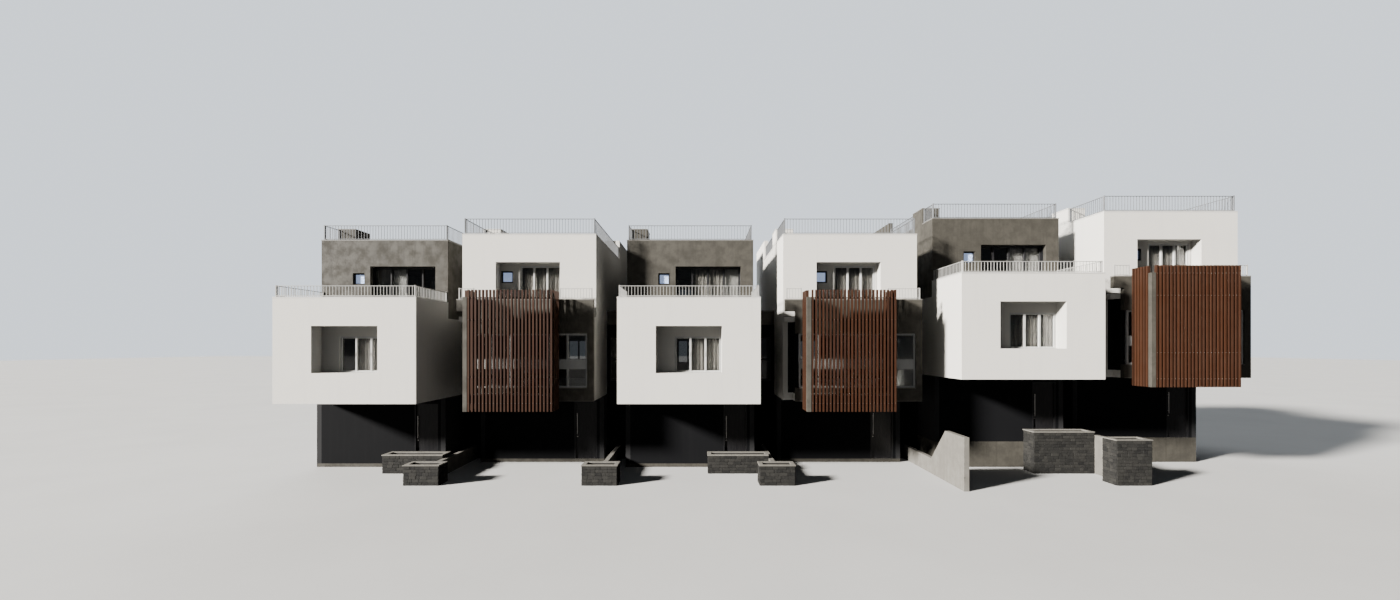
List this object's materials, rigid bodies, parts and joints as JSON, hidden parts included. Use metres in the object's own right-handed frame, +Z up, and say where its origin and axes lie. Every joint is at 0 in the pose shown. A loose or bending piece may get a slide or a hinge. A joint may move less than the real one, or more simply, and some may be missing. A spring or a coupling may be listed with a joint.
{
  "type": "terraced house row",
  "caption": "Row of modern three-storey terraced houses of two alternating kinds, with white boxes, concrete fronts, slat screens, terraces and doors that open.",
  "frame": {"origin": "middle of the row's footprint at the lowest ground level", "axes": "+Z up, +X along the row to the right seen from the street, -Y towards the street"},
  "size_m": [38.5, 13.5, 11.7],
  "materials": {
    "white_render": "smooth painted render on concrete",
    "fair_faced_concrete": "mottled fair-faced concrete",
    "dark_render": "dark grey render",
    "planter_stone": "dark stone facing with pale caps",
    "rust_slats": "rust-brown coated slats",
    "railing_steel": "light grey painted steel",
    "frame_white": "white coated frames",
    "frame_dark": "black coated frames",
    "window_glass": "clear glass, slightly grey",
    "door_dark": "black lacquered wood"
  },
  "bodies": {
    "row": {"ground_slabs": "fair_faced_concrete", "plinth_side_walls": "fair_faced_concrete", "plinth_cross_walls": "fair_faced_concrete", "ground_side_walls": "dark_render", "entrance_walls": "dark_render", "entrance_lintels": "dark_render", "ground_rear_walls": "dark_render", "first_floor_slabs": "white_render", "a_first_front_walls": "white_render", "a_window_niches": "white_render", "first_side_walls": "white_render", "first_rear_walls": "white_render", "second_floor_slabs": "white_render", "a_terrace_parapets": "white_render", "b_first_front_walls": "fair_faced_concrete", "b_corner_walls": "dark_render", "balcony_slabs": "fair_faced_concrete", "slat_screen_fronts": "rust_slats", "slat_screen_sides": "rust_slats", "screen_corner_posts": "fair_faced_concrete", "a_second_front_walls": "fair_faced_concrete", "a_door_reveals": "dark_render", "a_second_side_walls": "fair_faced_concrete", "b_second_front_walls": "white_render", "b_second_recesses": "white_render", "b_second_side_walls": "white_render", "second_rear_walls": "white_render", "roof_slabs": "fair_faced_concrete", "a_roof_shafts": "fair_faced_concrete", "b_roof_shafts": "white_render", "b_rear_shafts": "fair_faced_concrete", "a_terrace_railings": "railing_steel", "b_terrace_railings": "railing_steel", "roof_railings": "railing_steel", "window_frames": "frame_white", "dark_window_frames": "frame_dark", "window_glass": "window_glass", "link_walls": "dark_render", "link_slabs": "fair_faced_concrete", "garden_walls": "fair_faced_concrete", "planters": "planter_stone", "door_frames": "door_dark"},
    "door_1": {"door_house_1": "door_dark"},
    "door_2": {"door_house_2": "door_dark"},
    "door_3": {"door_house_3": "door_dark"},
    "door_4": {"door_house_4": "door_dark"},
    "door_5": {"door_house_5": "door_dark"},
    "door_6": {"door_house_6": "door_dark"}
  },
  "joints": [
    {"name": "door_hinge_1", "type": "hinge", "parent": "row", "child": "door_1", "pos_m": [-14.123, -2.718, 0.15], "axis": [0, 0, -1], "range_deg": [0, 90]},
    {"name": "door_hinge_2", "type": "hinge", "parent": "row", "child": "door_2", "pos_m": [-7.523, -1.718, 0.15], "axis": [0, 0, -1], "range_deg": [0, 90]},
    {"name": "door_hinge_3", "type": "hinge", "parent": "row", "child": "door_3", "pos_m": [-0.923, -2.718, 0.15], "axis": [0, 0, -1], "range_deg": [0, 90]},
    {"name": "door_hinge_4", "type": "hinge", "parent": "row", "child": "door_4", "pos_m": [5.677, -1.718, 0.15], "axis": [0, 0, -1], "range_deg": [0, 90]},
    {"name": "door_hinge_5", "type": "hinge", "parent": "row", "child": "door_5", "pos_m": [12.277, -2.718, 1.09], "axis": [0, 0, -1], "range_deg": [0, 90]},
    {"name": "door_hinge_6", "type": "hinge", "parent": "row", "child": "door_6", "pos_m": [18.877, -1.718, 1.09], "axis": [0, 0, -1], "range_deg": [0, 90]}
  ]
}
